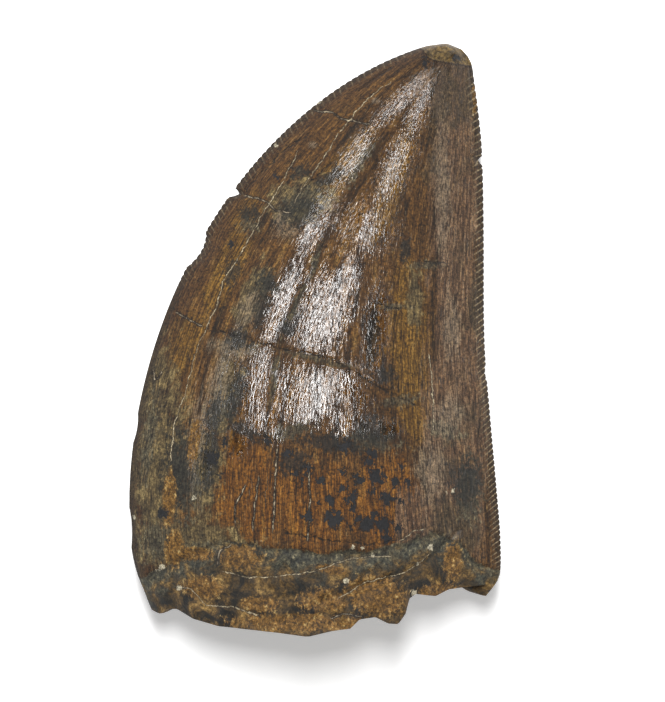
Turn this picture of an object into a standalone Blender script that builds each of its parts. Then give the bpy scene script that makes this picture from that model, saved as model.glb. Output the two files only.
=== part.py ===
"""A fossil tooth of a large meat-eating dinosaur, lying on its flatter side.

The crown is one solid. Seen from above, its front (mesial) edge is a long bow and its back (distal) edge is
nearly straight, both run into a blunt worn tip, and both carry a row of small chisel-shaped denticles. The
root end is broken off: the enamel stops short of a rough ledged band of dentine, and the break is hollowed.

The file is in metres. Shapes are worked out in millimetres, in the tooth's own frame: X from the mesial to
the distal edge, Y from the break to the tip, Z up from the surface that the tooth lies on. MM turns them to
metres where a vertex is made.
"""

import math

import bmesh
import bpy
from mathutils import Vector, noise

MM = 0.001

# Driving dimensions, in millimetres
CROWN_HEIGHT = 65.0
CROWN_LENGTH = 40.7
UPPER_THICKNESS = 9.6
LOWER_THICKNESS = 7.6
ENAMEL_THICKNESS = 0.35
RESTING_WEAR = 0.25

# The mesial edge, a bow that follows a quarter of a superellipse, with a heel below it
BOW_CENTRE_X = 19.6
BOW_CENTRE_Y = -18.0
BOW_REACH_Y = 51.25
BOW_REACH_X = BOW_CENTRE_X + CROWN_LENGTH / 2
BOW_POWER = 1.88
BOW_END_X = 12.4
HEEL_DROP = 10.5
HEEL_INSET = 1.9
HEEL_POWER = 3.0
APEX = (14.6, CROWN_HEIGHT / 2)

# The distal edge, from the break to the tip
DISTAL_EDGE = [
    (19.5, -27.6), (20.3, -26.3), (20.4, -22.4), (20.1, -18.0), (19.25, -8.1), (18.7, -0.4), (18.65, 12.8),
    (18.5, 20.5), (18.1, 24.9), (17.6, 28.6), (17.3, 30.3), (16.6, 31.4), (15.6, 32.2), APEX,
]

# Where the break cuts the upper and the lower face, from the mesial to the distal edge
UPPER_BREAK = [
    (-18.4, -28.4), (-17.9, -30.0), (-17.0, -30.4), (-16.0, -29.8), (-15.0, -29.8), (-13.2, -30.8),
    (-10.5, -31.5), (-7.0, -31.8), (-4.0, -32.1), (-0.7, -32.5), (1.8, -31.9), (3.9, -31.6), (4.9, -30.6),
    (6.6, -30.4), (8.0, -31.1), (9.1, -31.2), (9.9, -30.1), (10.3, -28.5), (11.0, -28.0), (13.2, -28.3),
    (14.7, -27.6), (16.6, -27.4), (18.6, -27.2), (19.5, -27.6),
]
LOWER_BREAK = [
    (-18.4, -28.4), (-15.5, -29.6), (-12.5, -29.2), (-9.0, -30.3), (-5.0, -29.4), (-1.5, -30.1), (2.5, -31.0),
    (6.0, -29.6), (9.5, -29.2), (13.0, -27.5), (16.6, -27.0), (17.3, -28.1), (18.8, -28.5), (19.5, -27.6),
]
BREAK_REACH = 0.2

# Shares of the thickness across a section, from the mesial edge at 0 to the distal edge at 1
UPPER_SECTION = [
    (0.0, 0.0), (0.03, 0.14), (0.08, 0.32), (0.16, 0.55), (0.28, 0.81), (0.4, 0.95), (0.5, 1.0), (0.6, 0.97),
    (0.7, 0.83), (0.79, 0.61), (0.88, 0.35), (0.95, 0.16), (1.0, 0.0),
]
LOWER_SECTION_POWER = 2.6

# Shares of the thickness along the crown, from the break at 0 to the tip at 1
THICKNESS_ALONG = [
    (0.0, 0.97), (0.12, 1.0), (0.3, 0.91), (0.5, 0.73), (0.7, 0.52), (0.85, 0.37), (0.93, 0.29), (0.975, 0.22),
    (1.0, 0.08),
]
TIP_LIFT = [(0.0, 0.15), (0.1, 0.0), (0.7, 0.0), (0.85, 0.45), (1.0, 1.6)]
EDGE_TWIST = 0.5

# Two low ridges run up the upper face to the tip: place across, width across and height
RIDGES = [(0.4, 0.055, 0.3), (0.62, 0.05, 0.28)]

# The worn facet at the tip, which falls towards it
WEAR_START = 0.5
WEAR_SLOPE = 0.95

# The edge where the enamel stops on the upper face, and the fissure and the raised slab below it
ENAMEL_EDGE = [
    (-20.4, -27.4), (-16.5, -25.2), (-13.0, -23.2), (-9.5, -22.2), (-5.0, -22.9), (0.0, -23.4), (6.0, -23.2),
    (10.0, -22.4), (13.0, -21.4), (15.5, -22.4), (18.0, -24.8), (20.6, -25.8),
]
LOWER_ENAMEL_EDGE = [(-20.4, -26.2), (-12.0, -24.6), (-4.0, -25.6), (4.0, -24.4), (12.0, -25.8), (20.6, -25.2)]
FISSURE = [(1.0, -28.6), (5.5, -27.1), (9.3, -26.0), (12.1, -24.6), (13.8, -23.2), (15.4, -21.3)]
FISSURE_DEPTH = 0.35
FISSURE_WIDTH = 0.45
SLAB_HEIGHT = 0.45
SLAB_FROM_X = 3.6
SLAB_TO_X = 10.2
BAND_ROUGHNESS = 0.32
BAND_LUMP = 2.1

# Denticles: their spacing at the break and at the tip, their depth, and the share of the edge that has them
SPACING_AT_BREAK = 0.54
SPACING_AT_TIP = 0.84
DENTICLE_DEPTH = 0.24
DISTAL_SERRATED = (0.03, 0.93)
MESIAL_SERRATED = (0.45, 0.96)
DENTICLE_OUTLINE = [(0.0, 1.0), (0.3, 0.0), (0.72, 0.0)]

# Chips out of each edge: height on the crown, half-length and depth
MESIAL_CHIPS = [(15.9, 0.5, 0.75), (9.6, 2.0, 0.65), (-10.0, 1.6, 0.2), (-21.0, 2.2, 0.25)]
DISTAL_CHIPS = [(19.4, 0.55, 0.4), (-4.0, 1.0, 0.15)]

# The broken end: its rings from the rim in to the centre, and the shallow hollow that was the pulp cavity
BREAK_RINGS = [0.05, 0.12, 0.21, 0.31, 0.41, 0.52, 0.64, 0.76, 0.88]
BREAK_CENTRE = (0.6, 8.2)
BREAK_FLOOR = [(-18.4, -28.0), (-12.0, -29.2), (-2.0, -30.0), (5.0, -29.0), (10.0, -26.9), (19.5, -26.2)]
BREAK_ROUGHNESS = 0.6
HOLLOW_DEPTH = 1.4

# How finely the crown is divided
ROWS_BREAK = 22
ROWS_CROWN = 46
ROWS_TIP = 10
COLUMNS = 25
EDGE_COLUMN = 0.028
PLAIN_STEP = 1.1


def blend(a, b, share):
    return a + (b - a) * share


def ease(low, high, x):
    """0 below low and 1 above high, with a smooth rise between."""
    share = min(1.0, max(0.0, (x - low) / (high - low)))
    return share * share * (3 - 2 * share)


def bell(x, centre, width):
    return math.exp(-(((x - centre) / width) ** 2))


def along_line(knots, x):
    """The height at x of the straight runs between the knots."""
    if x <= knots[0][0]:
        return knots[0][1]
    for (x0, y0), (x1, y1) in zip(knots, knots[1:]):
        if x <= x1:
            return blend(y0, y1, (x - x0) / (x1 - x0))
    return knots[-1][1]


def along_curve(knots, x):
    """The height at x of a smooth curve through the knots."""
    if x <= knots[0][0]:
        return knots[0][1]
    if x >= knots[-1][0]:
        return knots[-1][1]
    at = next(i for i in range(len(knots) - 1) if x <= knots[i + 1][0])

    def slope(i):
        before, after = knots[max(i - 1, 0)], knots[min(i + 1, len(knots) - 1)]
        return (after[1] - before[1]) / (after[0] - before[0])

    (x0, y0), (x1, y1) = knots[at], knots[at + 1]
    step = x1 - x0
    t = (x - x0) / step
    return (
        y0 * (1 + 2 * t) * (1 - t) ** 2
        + slope(at) * step * t * (1 - t) ** 2
        + y1 * t * t * (3 - 2 * t)
        + slope(at + 1) * step * t * t * (t - 1)
    )


def distance_to(path, x, y):
    """How far a point is from a path of straight runs."""
    best = math.inf
    for (x0, y0), (x1, y1) in zip(path, path[1:]):
        dx, dy = x1 - x0, y1 - y0
        t = min(1.0, max(0.0, ((x - x0) * dx + (y - y0) * dy) / (dx * dx + dy * dy)))
        best = min(best, math.hypot(x - x0 - t * dx, y - y0 - t * dy))
    return best


class Edge:
    """A cutting edge as a line of points, read by the share of its length from the break to the tip."""

    def __init__(self, points):
        self.points = points
        self.reached = [0.0]
        for (x0, y0), (x1, y1) in zip(points, points[1:]):
            self.reached.append(self.reached[-1] + math.hypot(x1 - x0, y1 - y0))
        self.length = self.reached[-1]

    def at(self, share):
        wanted = share * self.length
        xs = [(r, p[0]) for r, p in zip(self.reached, self.points)]
        ys = [(r, p[1]) for r, p in zip(self.reached, self.points)]
        return along_line(xs, wanted), along_line(ys, wanted)


def mesial_points(steps=60):
    """The heel, then the bow up to the tip."""
    points = []
    widest_x = BOW_CENTRE_X - BOW_REACH_X
    for i in range(steps // 4):
        down = 1 - i / (steps // 4)
        points.append((widest_x + HEEL_INSET * down**HEEL_POWER, BOW_CENTRE_Y - HEEL_DROP * down))
    end_across = (BOW_CENTRE_X - BOW_END_X) / BOW_REACH_X
    last_angle = math.acos(end_across ** (BOW_POWER / 2))
    for i in range(steps + 1):
        angle = last_angle * i / steps
        x = BOW_CENTRE_X - BOW_REACH_X * math.cos(angle) ** (2 / BOW_POWER)
        y = BOW_CENTRE_Y + BOW_REACH_Y * math.sin(angle) ** (2 / BOW_POWER)
        points.append((x, y))
    return points + [APEX]


def distal_points(steps=6):
    """A smooth curve through the distal edge's own points, read along its height."""
    by_height = [(y, x) for x, y in DISTAL_EDGE]
    points = []
    for (y0, _), (y1, _) in zip(by_height, by_height[1:]):
        for i in range(steps):
            y = blend(y0, y1, i / steps)
            points.append((along_curve(by_height, y), y))
    return points + [APEX]


MESIAL = Edge(mesial_points())
DISTAL = Edge(distal_points())


def chip_depth(chips, y):
    return sum(depth * max(0.0, 1 - ((y - at) / half) ** 2) for at, half, depth in chips)


def edge_height(share, across):
    """The height of the cutting edges above the resting surface; the distal one lies a little higher."""
    lower = LOWER_THICKNESS * along_curve(THICKNESS_ALONG, share)
    lift = along_curve(TIP_LIFT, share) - RESTING_WEAR
    twist = EDGE_TWIST * (1 - share) * (2 * across - 1)
    return lower + lift + twist


def plan_point(share, across, broken):
    """Where a point of the crown lies seen from above, with the rows near the break following it."""
    (mx, my), (dx, dy) = MESIAL.at(share), DISTAL.at(share)
    x, y = blend(mx, dx, across), blend(my, dy, across)
    if share < BREAK_REACH:
        (bx, by), (ex, ey) = MESIAL.at(0), DISTAL.at(0)
        drop = along_line(broken, blend(bx, ex, across)) - blend(by, ey, across)
        y += drop * (1 - share / BREAK_REACH) ** 1.6
    return x, y


def rough(x, y, side):
    return noise.noise(Vector((x / BAND_LUMP, y / BAND_LUMP, side))) + 0.5 * noise.noise(
        Vector((2.3 * x / BAND_LUMP, 2.3 * y / BAND_LUMP, side + 5))
    )


def upper_relief(x, y):
    """Height of the ledges, lumps and fissure of the broken band above the smooth form, on the upper face."""
    band = ease(-0.35, 0.35, along_line(ENAMEL_EDGE, x) - y)
    lumps = BAND_ROUGHNESS * rough(x, y, 1.0)
    fissure_y = along_line(FISSURE, x)
    on_slab = ease(SLAB_FROM_X - 0.8, SLAB_FROM_X, x) * ease(-SLAB_TO_X - 0.3, -SLAB_TO_X + 0.3, -x)
    slab = SLAB_HEIGHT * on_slab * ease(0.2, 0.7, fissure_y - y)
    fissure = FISSURE_DEPTH * bell(distance_to(FISSURE, x, y), 0, FISSURE_WIDTH)
    return band * (lumps - ENAMEL_THICKNESS + slab) - fissure


def lower_relief(x, y):
    """The same on the lower face, whose band is narrower."""
    band = ease(-0.35, 0.35, along_line(LOWER_ENAMEL_EDGE, x) - y)
    return band * (ENAMEL_THICKNESS - BAND_ROUGHNESS * rough(x, y, 9.0))


def upper_point(share, across):
    x, y = plan_point(share, across, UPPER_BREAK)
    thickness = UPPER_THICKNESS * along_curve(THICKNESS_ALONG, share)
    rise = thickness * along_curve(UPPER_SECTION, across)
    fade = ease(0.02, 0.3, share) * ease(0.0, 0.15, 1 - share)
    for centre, width, height in RIDGES:
        rise += height * fade * bell(across, centre, width)
    z = edge_height(share, across) + max(0.0, rise + upper_relief(x, y))
    worn = edge_height(1.0, across) + WEAR_START + WEAR_SLOPE * (APEX[1] - y)
    return Vector((x, y, min(z, worn)))


def lower_point(share, across):
    x, y = plan_point(share, across, LOWER_BREAK)
    thickness = LOWER_THICKNESS * along_curve(THICKNESS_ALONG, share)
    fall = thickness * (1 - abs(2 * across - 1) ** LOWER_SECTION_POWER)
    z = edge_height(share, across) - fall + lower_relief(x, y)
    return Vector((x, y, max(0.0, z)))


def edge_steps(edge, serrated):
    """Shares of the edge's length at which it has a point, each with how deep it is between denticles."""
    first, last = (share * edge.length for share in serrated)
    steps = []
    reached = PLAIN_STEP
    while reached < first:
        steps.append((reached / edge.length, 0.0))
        reached += PLAIN_STEP
    reached = first
    while reached < last:
        spacing = blend(SPACING_AT_BREAK, SPACING_AT_TIP, reached / edge.length)
        for part, inset in DENTICLE_OUTLINE:
            steps.append(((reached + part * spacing) / edge.length, inset * DENTICLE_DEPTH))
        reached += spacing
    while reached < edge.length - PLAIN_STEP / 2:
        steps.append((reached / edge.length, 0.0))
        reached += PLAIN_STEP
    return steps


def edge_point(edge, share, inset, across, chips):
    """A point of a cutting edge, moved in towards the other edge by its inset and by any chip."""
    x, y = edge.at(share)
    other = DISTAL if edge is MESIAL else MESIAL
    ox, oy = other.at(share)
    reach = math.hypot(ox - x, oy - y)
    inward = (inset + chip_depth(chips, y)) / max(reach, 3.0)
    return Vector((blend(x, ox, inward), blend(y, oy, inward), edge_height(share, across)))


def row_shares():
    """The crown's rows, closer together over the broken band and at the tip."""
    band = [BREAK_REACH * (i / ROWS_BREAK) for i in range(ROWS_BREAK)]
    crown = [blend(BREAK_REACH, 0.93, i / ROWS_CROWN) for i in range(ROWS_CROWN)]
    tip = [blend(0.93, 1.0, (i / ROWS_TIP) ** 0.8) for i in range(ROWS_TIP)]
    return band + crown + tip


def column_shares():
    """Places across a face, closer together near the two edges."""
    shares = []
    for i in range(COLUMNS):
        t = i / (COLUMNS - 1)
        eased = 0.5 - 0.5 * math.cos(math.pi * t)
        shares.append(blend(EDGE_COLUMN, 1 - EDGE_COLUMN, blend(t, eased, 0.35)))
    return shares


def face_grid(mesh, point, rows, columns):
    """A face of the crown as rows of vertices, joined by quads."""
    grid = [[mesh.verts.new(point(share, across) * MM) for across in columns] for share in rows]
    for low, high in zip(grid, grid[1:]):
        for i in range(len(columns) - 1):
            mesh.faces.new((low[i], low[i + 1], high[i + 1], high[i]))
    return grid


def stitch(mesh, fine, coarse):
    """Joins two lines of (share, vertex) that start and end together, by triangles in order of share."""
    i = j = 0
    while i < len(fine) - 1 or j < len(coarse) - 1:
        take_fine = j == len(coarse) - 1 or (i < len(fine) - 1 and fine[i + 1][0] <= coarse[j + 1][0])
        if take_fine:
            mesh.faces.new((fine[i][1], fine[i + 1][1], coarse[j][1]))
            i += 1
        else:
            mesh.faces.new((fine[i][1], coarse[j + 1][1], coarse[j][1]))
            j += 1


def add_edge(mesh, edge, serrated, chips, across, rows, faces):
    """A serrated cutting edge, stitched to the outer columns of the upper and the lower face."""
    steps = [(0.0, 0.0)] + edge_steps(edge, serrated) + [(rows[-1], 0.0)]
    steps = [s for s in steps if s[0] <= rows[-1]]
    line = [(share, mesh.verts.new(edge_point(edge, share, inset, across, chips) * MM)) for share, inset in steps]
    for face in faces:
        column = [row[0 if across == 0 else -1] for row in face]
        stitch(mesh, line, list(zip(rows, column)))
    return line


def close_tip(mesh, upper, lower, mesial, distal):
    """The blunt tip: a fan from the last row's ring to one vertex at the apex."""
    ring = [mesial[-1][1]] + upper[-1] + [distal[-1][1]] + lower[-1][::-1]
    apex = mesh.verts.new(Vector((*APEX, edge_height(1.0, 0.5))) * MM)
    for a, b in zip(ring, ring[1:] + ring[:1]):
        mesh.faces.new((a, b, apex))


def broken_y(x, z, inward):
    """Where the broken end lies along the crown: rough, and sunk where the pulp cavity was."""
    lumps = noise.noise(Vector((x / 3.1, z / 2.2, 3.0))) + 0.5 * noise.noise(Vector((x / 1.3, z / 1.1, 7.0)))
    floor = along_curve(BREAK_FLOOR, x)
    return floor + HOLLOW_DEPTH * ease(0.3, 0.5, inward) + BREAK_ROUGHNESS * lumps


def close_break(mesh, upper, lower, mesial, distal):
    """The broken end: rings that shrink from the jagged rim onto a rough face."""
    ring = [mesial[0][1]] + upper[0] + [distal[0][1]] + lower[0][::-1]
    rim = [v.co / MM for v in ring]
    middle_x, middle_z = BREAK_CENTRE
    for inward in BREAK_RINGS:
        inner = []
        for at in rim:
            x, z = blend(at.x, middle_x, inward), blend(at.z, middle_z, inward)
            y = blend(at.y, broken_y(x, z, inward), ease(0.0, 0.2, inward))
            inner.append(mesh.verts.new(Vector((x, y, z)) * MM))
        for i in range(len(ring)):
            j = (i + 1) % len(ring)
            mesh.faces.new((ring[i], ring[j], inner[j], inner[i]))
        ring = inner
    centre = mesh.verts.new(Vector((middle_x, broken_y(middle_x, middle_z, 1.0), middle_z)) * MM)
    for a, b in zip(ring, ring[1:] + ring[:1]):
        mesh.faces.new((a, b, centre))


def stand_on_centre(mesh):
    """Puts the middle of the tooth's box over the origin, with its lowest point at zero."""
    low = Vector([min(v.co[axis] for v in mesh.verts) for axis in range(3)])
    high = Vector([max(v.co[axis] for v in mesh.verts) for axis in range(3)])
    middle = (low + high) / 2
    bmesh.ops.translate(mesh, vec=(-middle.x, -middle.y, -low.z), verts=mesh.verts)


def fossil_enamel():
    material = bpy.data.materials.new("fossil_enamel")
    material.use_nodes = True
    shader = material.node_tree.nodes["Principled BSDF"]
    shader.inputs["Base Color"].default_value = (0.149, 0.075, 0.026, 1)
    shader.inputs["Roughness"].default_value = 0.35
    shader.inputs["Metallic"].default_value = 0.0
    return material


def make_tooth():
    mesh = bmesh.new()
    rows, columns = row_shares(), column_shares()
    upper = face_grid(mesh, upper_point, rows, columns)
    lower = face_grid(mesh, lower_point, rows, columns)
    mesial = add_edge(mesh, MESIAL, MESIAL_SERRATED, MESIAL_CHIPS, 0, rows, (upper, lower))
    distal = add_edge(mesh, DISTAL, DISTAL_SERRATED, DISTAL_CHIPS, 1, rows, (upper, lower))
    close_tip(mesh, upper, lower, mesial, distal)
    close_break(mesh, upper, lower, mesial, distal)
    stand_on_centre(mesh)
    bmesh.ops.recalc_face_normals(mesh, faces=mesh.faces)
    data = bpy.data.meshes.new("tooth")
    mesh.to_mesh(data)
    mesh.free()
    data.shade_smooth()
    data.set_sharp_from_angle(angle=math.radians(50))
    data.materials.append(fossil_enamel())
    tooth = bpy.data.objects.new("tooth", data)
    bpy.context.scene.collection.objects.link(tooth)
    return tooth


for old in list(bpy.data.objects):
    bpy.data.objects.remove(old)
make_tooth()
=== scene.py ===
# %% [markdown]
# A fossil tooth of a large meat-eating dinosaur, lying on its side on a white table. The real thing is one
# piece of stone: glossy brown enamel over dentine, with serrated edges, a worn tip and a broken root end.
# The solid model gives its size. This lesson makes the surface that the eye sees, in three stages: a fine
# mesh from the same edge curves, fields of numbers painted on its vertices, and one material that turns
# those fields into colour, gloss and relief.

# %% Load the solid model and keep its box
import math

import bmesh
import bpy
import numpy as np
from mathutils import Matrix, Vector, noise


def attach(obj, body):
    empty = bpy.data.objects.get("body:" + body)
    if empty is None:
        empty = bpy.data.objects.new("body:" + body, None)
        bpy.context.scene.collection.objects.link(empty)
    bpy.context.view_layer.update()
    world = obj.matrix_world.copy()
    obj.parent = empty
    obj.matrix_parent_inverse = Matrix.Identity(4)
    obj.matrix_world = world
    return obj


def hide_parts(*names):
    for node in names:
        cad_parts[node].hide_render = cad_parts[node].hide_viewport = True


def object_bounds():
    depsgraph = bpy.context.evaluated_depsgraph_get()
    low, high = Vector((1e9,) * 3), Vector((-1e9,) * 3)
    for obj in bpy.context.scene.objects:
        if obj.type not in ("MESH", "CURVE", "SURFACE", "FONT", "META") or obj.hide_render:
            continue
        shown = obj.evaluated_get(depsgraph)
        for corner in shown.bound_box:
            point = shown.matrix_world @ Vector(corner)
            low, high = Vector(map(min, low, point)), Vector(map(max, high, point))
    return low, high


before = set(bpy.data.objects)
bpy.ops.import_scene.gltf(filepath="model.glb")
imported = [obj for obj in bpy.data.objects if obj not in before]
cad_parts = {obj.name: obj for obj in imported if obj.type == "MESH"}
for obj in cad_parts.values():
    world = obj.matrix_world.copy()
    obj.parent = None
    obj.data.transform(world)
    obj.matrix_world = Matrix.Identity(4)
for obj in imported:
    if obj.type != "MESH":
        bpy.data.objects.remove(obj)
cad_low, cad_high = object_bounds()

MM = 0.001
print("solid model:", [round((b - a) / MM, 1) for a, b in zip(cad_low, cad_high)], "mm, as", *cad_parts)

# %% [markdown]
# Places on the tooth are read from the photograph, in its own pixels. One pixel is 0.11 mm, which comes
# from the spacing of the denticles. The tooth's box has its middle at pixel (315, 336.5), and that is the
# origin here.

# %% Pixels to millimetres
PIXEL_MM = 0.11
BOX_MIDDLE_PX = (315.0, 336.5)
PHOTO_SIZE_PX = (665, 702)


def from_photo(px, py):
    """The place in mm of a pixel of the photograph."""
    return (px - BOX_MIDDLE_PX[0]) * PIXEL_MM, (BOX_MIDDLE_PX[1] - py) * PIXEL_MM


print("photograph:", [round(side * PIXEL_MM, 1) for side in PHOTO_SIZE_PX], "mm")

# %% [markdown]
# The camera looks straight down at the tooth from 0.6 metres through a long lens, as a product
# photographer shoots a small find. That flattens the view, and the photograph has no visible perspective.
# The lens is worked out so that the picture is as many millimetres tall as the photograph, at the level
# where the tooth's edges lie.

# %% Camera
CAMERA_HEIGHT = 0.6
EDGE_LEVEL = 0.006
SENSOR = 36.0
CLIP_START = 0.01

camera = bpy.data.objects.new("camera", bpy.data.cameras.new("camera"))
bpy.context.scene.collection.objects.link(camera)
middle_x, middle_y = from_photo(PHOTO_SIZE_PX[0] / 2, PHOTO_SIZE_PX[1] / 2)
camera.location = (middle_x * MM, middle_y * MM, CAMERA_HEIGHT)
camera.data.sensor_width = SENSOR
camera.data.lens = SENSOR * (CAMERA_HEIGHT - EDGE_LEVEL) / (PHOTO_SIZE_PX[1] * PIXEL_MM * MM)
camera.data.clip_start = CLIP_START
bpy.context.scene.camera = camera
print("lens:", round(camera.data.lens), "mm")

# %% [markdown]
# Most of the shapes here are numbers that rise and fall along the tooth. They could be drawn as curve
# objects, but a few points with straight or smooth steps between them are easier to measure and change, so
# these four helpers come first.

# %% Helpers for values that change along a line
def blend(a, b, share):
    return a + (b - a) * share


def ease(low, high, x):
    share = np.clip((x - low) / (high - low), 0, 1)
    return share * share * (3 - 2 * share)


def along_line(knots, x):
    return np.interp(x, [k[0] for k in knots], [k[1] for k in knots])


def along_curve(knots, x):
    """The height at x of a smooth curve through the knots."""
    xs, ys = np.array(knots, float).T
    last = len(xs) - 1
    before, after = np.maximum(np.arange(last + 1) - 1, 0), np.minimum(np.arange(last + 1) + 1, last)
    slopes = (ys[after] - ys[before]) / (xs[after] - xs[before])
    x = np.clip(x, xs[0], xs[-1])
    at = np.clip(np.searchsorted(xs, x) - 1, 0, last - 1)
    step = xs[at + 1] - xs[at]
    t = (x - xs[at]) / step
    rise = ys[at] * (1 + 2 * t) * (1 - t) ** 2 + ys[at + 1] * t * t * (3 - 2 * t)
    return rise + step * t * (1 - t) * (slopes[at] * (1 - t) - slopes[at + 1] * t)


print("eased, a quarter and half of the way:", [round(float(ease(0, 1, x)), 2) for x in (0.25, 0.5)])

# %% [markdown]
# The two cutting edges carry everything else. The front (mesial) edge is a quarter of a superellipse with
# a heel below it, the back (distal) edge a smooth curve through a few points. Each is kept as a line of
# points that is read by the share of its length, so a row across the tooth joins equal shares of the two.

# %% The two edges
CROWN_HEIGHT = 65.0
CROWN_LENGTH = 40.7
BOW_CENTRE_X, BOW_CENTRE_Y = 19.6, -18.0
BOW_REACH_X, BOW_REACH_Y = BOW_CENTRE_X + CROWN_LENGTH / 2, 51.25
BOW_POWER = 1.88
BOW_END_X = 12.4
HEEL_DROP, HEEL_INSET, HEEL_POWER = 10.5, 1.9, 3.0
APEX = (14.6, CROWN_HEIGHT / 2)
DISTAL_EDGE = [
    (19.5, -27.6), (20.3, -26.3), (20.4, -22.4), (20.1, -18.0), (19.25, -8.1), (18.7, -0.4), (18.65, 12.8),
    (18.5, 20.5), (18.1, 24.9), (17.6, 28.6), (17.3, 30.3), (16.6, 31.4), (15.6, 32.2), APEX,
]


class Edge:
    """A cutting edge, read by the share of its length from the break to the tip."""

    def __init__(self, points):
        self.points = np.array(points)
        self.reached = np.concatenate([[0], np.cumsum(np.hypot(*np.diff(self.points, axis=0).T))])
        self.length = self.reached[-1]

    def at(self, share):
        wanted = share * self.length
        return [np.interp(wanted, self.reached, self.points[:, axis]) for axis in (0, 1)]


def mesial_points(heel_steps=15, bow_steps=60):
    down = 1 - np.arange(heel_steps) / heel_steps
    heel_x = BOW_CENTRE_X - BOW_REACH_X + HEEL_INSET * down**HEEL_POWER
    heel = np.stack([heel_x, BOW_CENTRE_Y - HEEL_DROP * down], 1)
    end_across = (BOW_CENTRE_X - BOW_END_X) / BOW_REACH_X
    angle = math.acos(end_across ** (BOW_POWER / 2)) * np.arange(bow_steps + 1) / bow_steps
    bow_x = BOW_CENTRE_X - BOW_REACH_X * np.cos(angle) ** (2 / BOW_POWER)
    bow_y = BOW_CENTRE_Y + BOW_REACH_Y * np.sin(angle) ** (2 / BOW_POWER)
    return np.concatenate([heel, np.stack([bow_x, bow_y], 1), [APEX]])


def distal_points(steps=80):
    heights = np.linspace(DISTAL_EDGE[0][1], APEX[1], steps)
    return np.stack([along_curve([(y, x) for x, y in DISTAL_EDGE], heights), heights], 1)


MESIAL, DISTAL = Edge(mesial_points()), Edge(distal_points())
print("edges:", round(MESIAL.length, 1), "and", round(DISTAL.length, 1), "mm long")

# %% [markdown]
# A section through the crown is a lens with two sharp corners. Its upper face is higher behind the middle
# and falls as a flat facet to the distal edge, as on the real tooth. The lower face is flatter, and rests
# on a narrow flat strip. Both get thinner towards the blunt tip, where a small flake has split off the
# upper face.

# %% Thickness of the crown
UPPER_THICKNESS, LOWER_THICKNESS = 9.6, 7.6
ENAMEL_THICKNESS = 0.35
RESTING_WEAR = 0.25
UPPER_SECTION = [
    (0.0, 0.0), (0.03, 0.14), (0.08, 0.32), (0.16, 0.55), (0.28, 0.81), (0.4, 0.95), (0.5, 1.0),
    (0.6, 0.97), (0.7, 0.83), (0.79, 0.61), (0.88, 0.35), (0.95, 0.16), (1.0, 0.0),
]
LOWER_SECTION_POWER = 2.6
THICKNESS_ALONG = [
    (0.0, 0.97), (0.12, 1.0), (0.3, 0.91), (0.5, 0.73), (0.7, 0.52), (0.85, 0.37), (0.93, 0.29),
    (0.975, 0.22), (1.0, 0.08),
]
TIP_LIFT = [(0.0, 0.15), (0.1, 0.0), (0.7, 0.0), (0.85, 0.45), (1.0, 1.6)]
EDGE_TWIST = 0.5
SPALL_EDGE_PX = [(410, 38), (424, 49), (430, 58), (447, 62), (470, 64), (480, 65)]
SPALL_DEPTH = 0.3


def edge_height(share, across):
    lower = LOWER_THICKNESS * along_curve(THICKNESS_ALONG, share)
    return lower + along_curve(TIP_LIFT, share) - RESTING_WEAR + EDGE_TWIST * (1 - share) * (2 * across - 1)


def smooth_height(share, across, upper):
    """The height of the face before its relief is added."""
    base, along = edge_height(share, across), along_curve(THICKNESS_ALONG, share)
    if not upper:
        return base - LOWER_THICKNESS * along * (1 - np.abs(2 * across - 1) ** LOWER_SECTION_POWER)
    return base + UPPER_THICKNESS * along * along_curve(UPPER_SECTION, across)


print("thickest:", round(float(smooth_height(0.12, 0.5, True)), 1), "mm above the table")

# %% [markdown]
# The root end broke off long ago. The enamel ends in a ledge, and below it the dentine is lumpy, with a
# fissure and a raised slab. The break's own outline is two short lists of points, for the upper and the
# lower face. The lumps could be sculpted, but noise of a few sizes, each with a height in millimetres, is
# quicker to set.

# %% The broken end
UPPER_BREAK = [
    (-18.4, -28.4), (-17.9, -30.0), (-17.0, -30.4), (-16.0, -29.8), (-15.0, -29.8), (-13.2, -30.8),
    (-10.5, -31.5), (-7.0, -31.8), (-4.0, -32.1), (-0.7, -32.5), (1.8, -31.9), (3.9, -31.6), (4.9, -30.6),
    (6.6, -30.4), (8.0, -31.1), (9.1, -31.2), (9.9, -30.1), (10.3, -28.5), (11.0, -28.0), (13.2, -28.3),
    (14.7, -27.6), (16.6, -27.4), (18.6, -27.2), (19.5, -27.6),
]
LOWER_BREAK = [
    (-18.4, -28.4), (-15.5, -29.6), (-12.5, -29.2), (-9.0, -30.3), (-5.0, -29.4), (-1.5, -30.1),
    (2.5, -31.0), (6.0, -29.6), (9.5, -29.2), (13.0, -27.5), (16.6, -27.0), (17.3, -28.1), (18.8, -28.5),
    (19.5, -27.6),
]
BREAK_REACH = 0.2
ENAMEL_EDGE = [
    (-20.4, -27.4), (-16.5, -25.2), (-13.0, -23.2), (-9.5, -22.2), (-5.0, -22.9), (0.0, -23.4),
    (6.0, -23.2), (10.0, -22.4), (13.0, -21.4), (15.5, -22.4), (18.0, -24.8), (20.6, -25.8),
]
LOWER_ENAMEL_EDGE = [
    (-20.4, -26.2), (-12.0, -24.6), (-4.0, -25.6), (4.0, -24.4), (12.0, -25.8), (20.6, -25.2),
]
FISSURE = [(1.0, -28.6), (5.5, -27.1), (9.3, -26.0), (12.1, -24.6), (13.8, -23.2), (15.4, -21.3)]
FISSURE_DEPTH, FISSURE_WIDTH = 0.35, 0.45
SLAB_HEIGHT, SLAB_FROM_X, SLAB_TO_X = 0.45, 3.6, 10.2
SLAB_NEAR_SLOPE, SLAB_FAR_HALF, SLAB_FRONT = 0.8, 0.3, (0.2, 0.7)
LEDGE_HALF = 0.3
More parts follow.
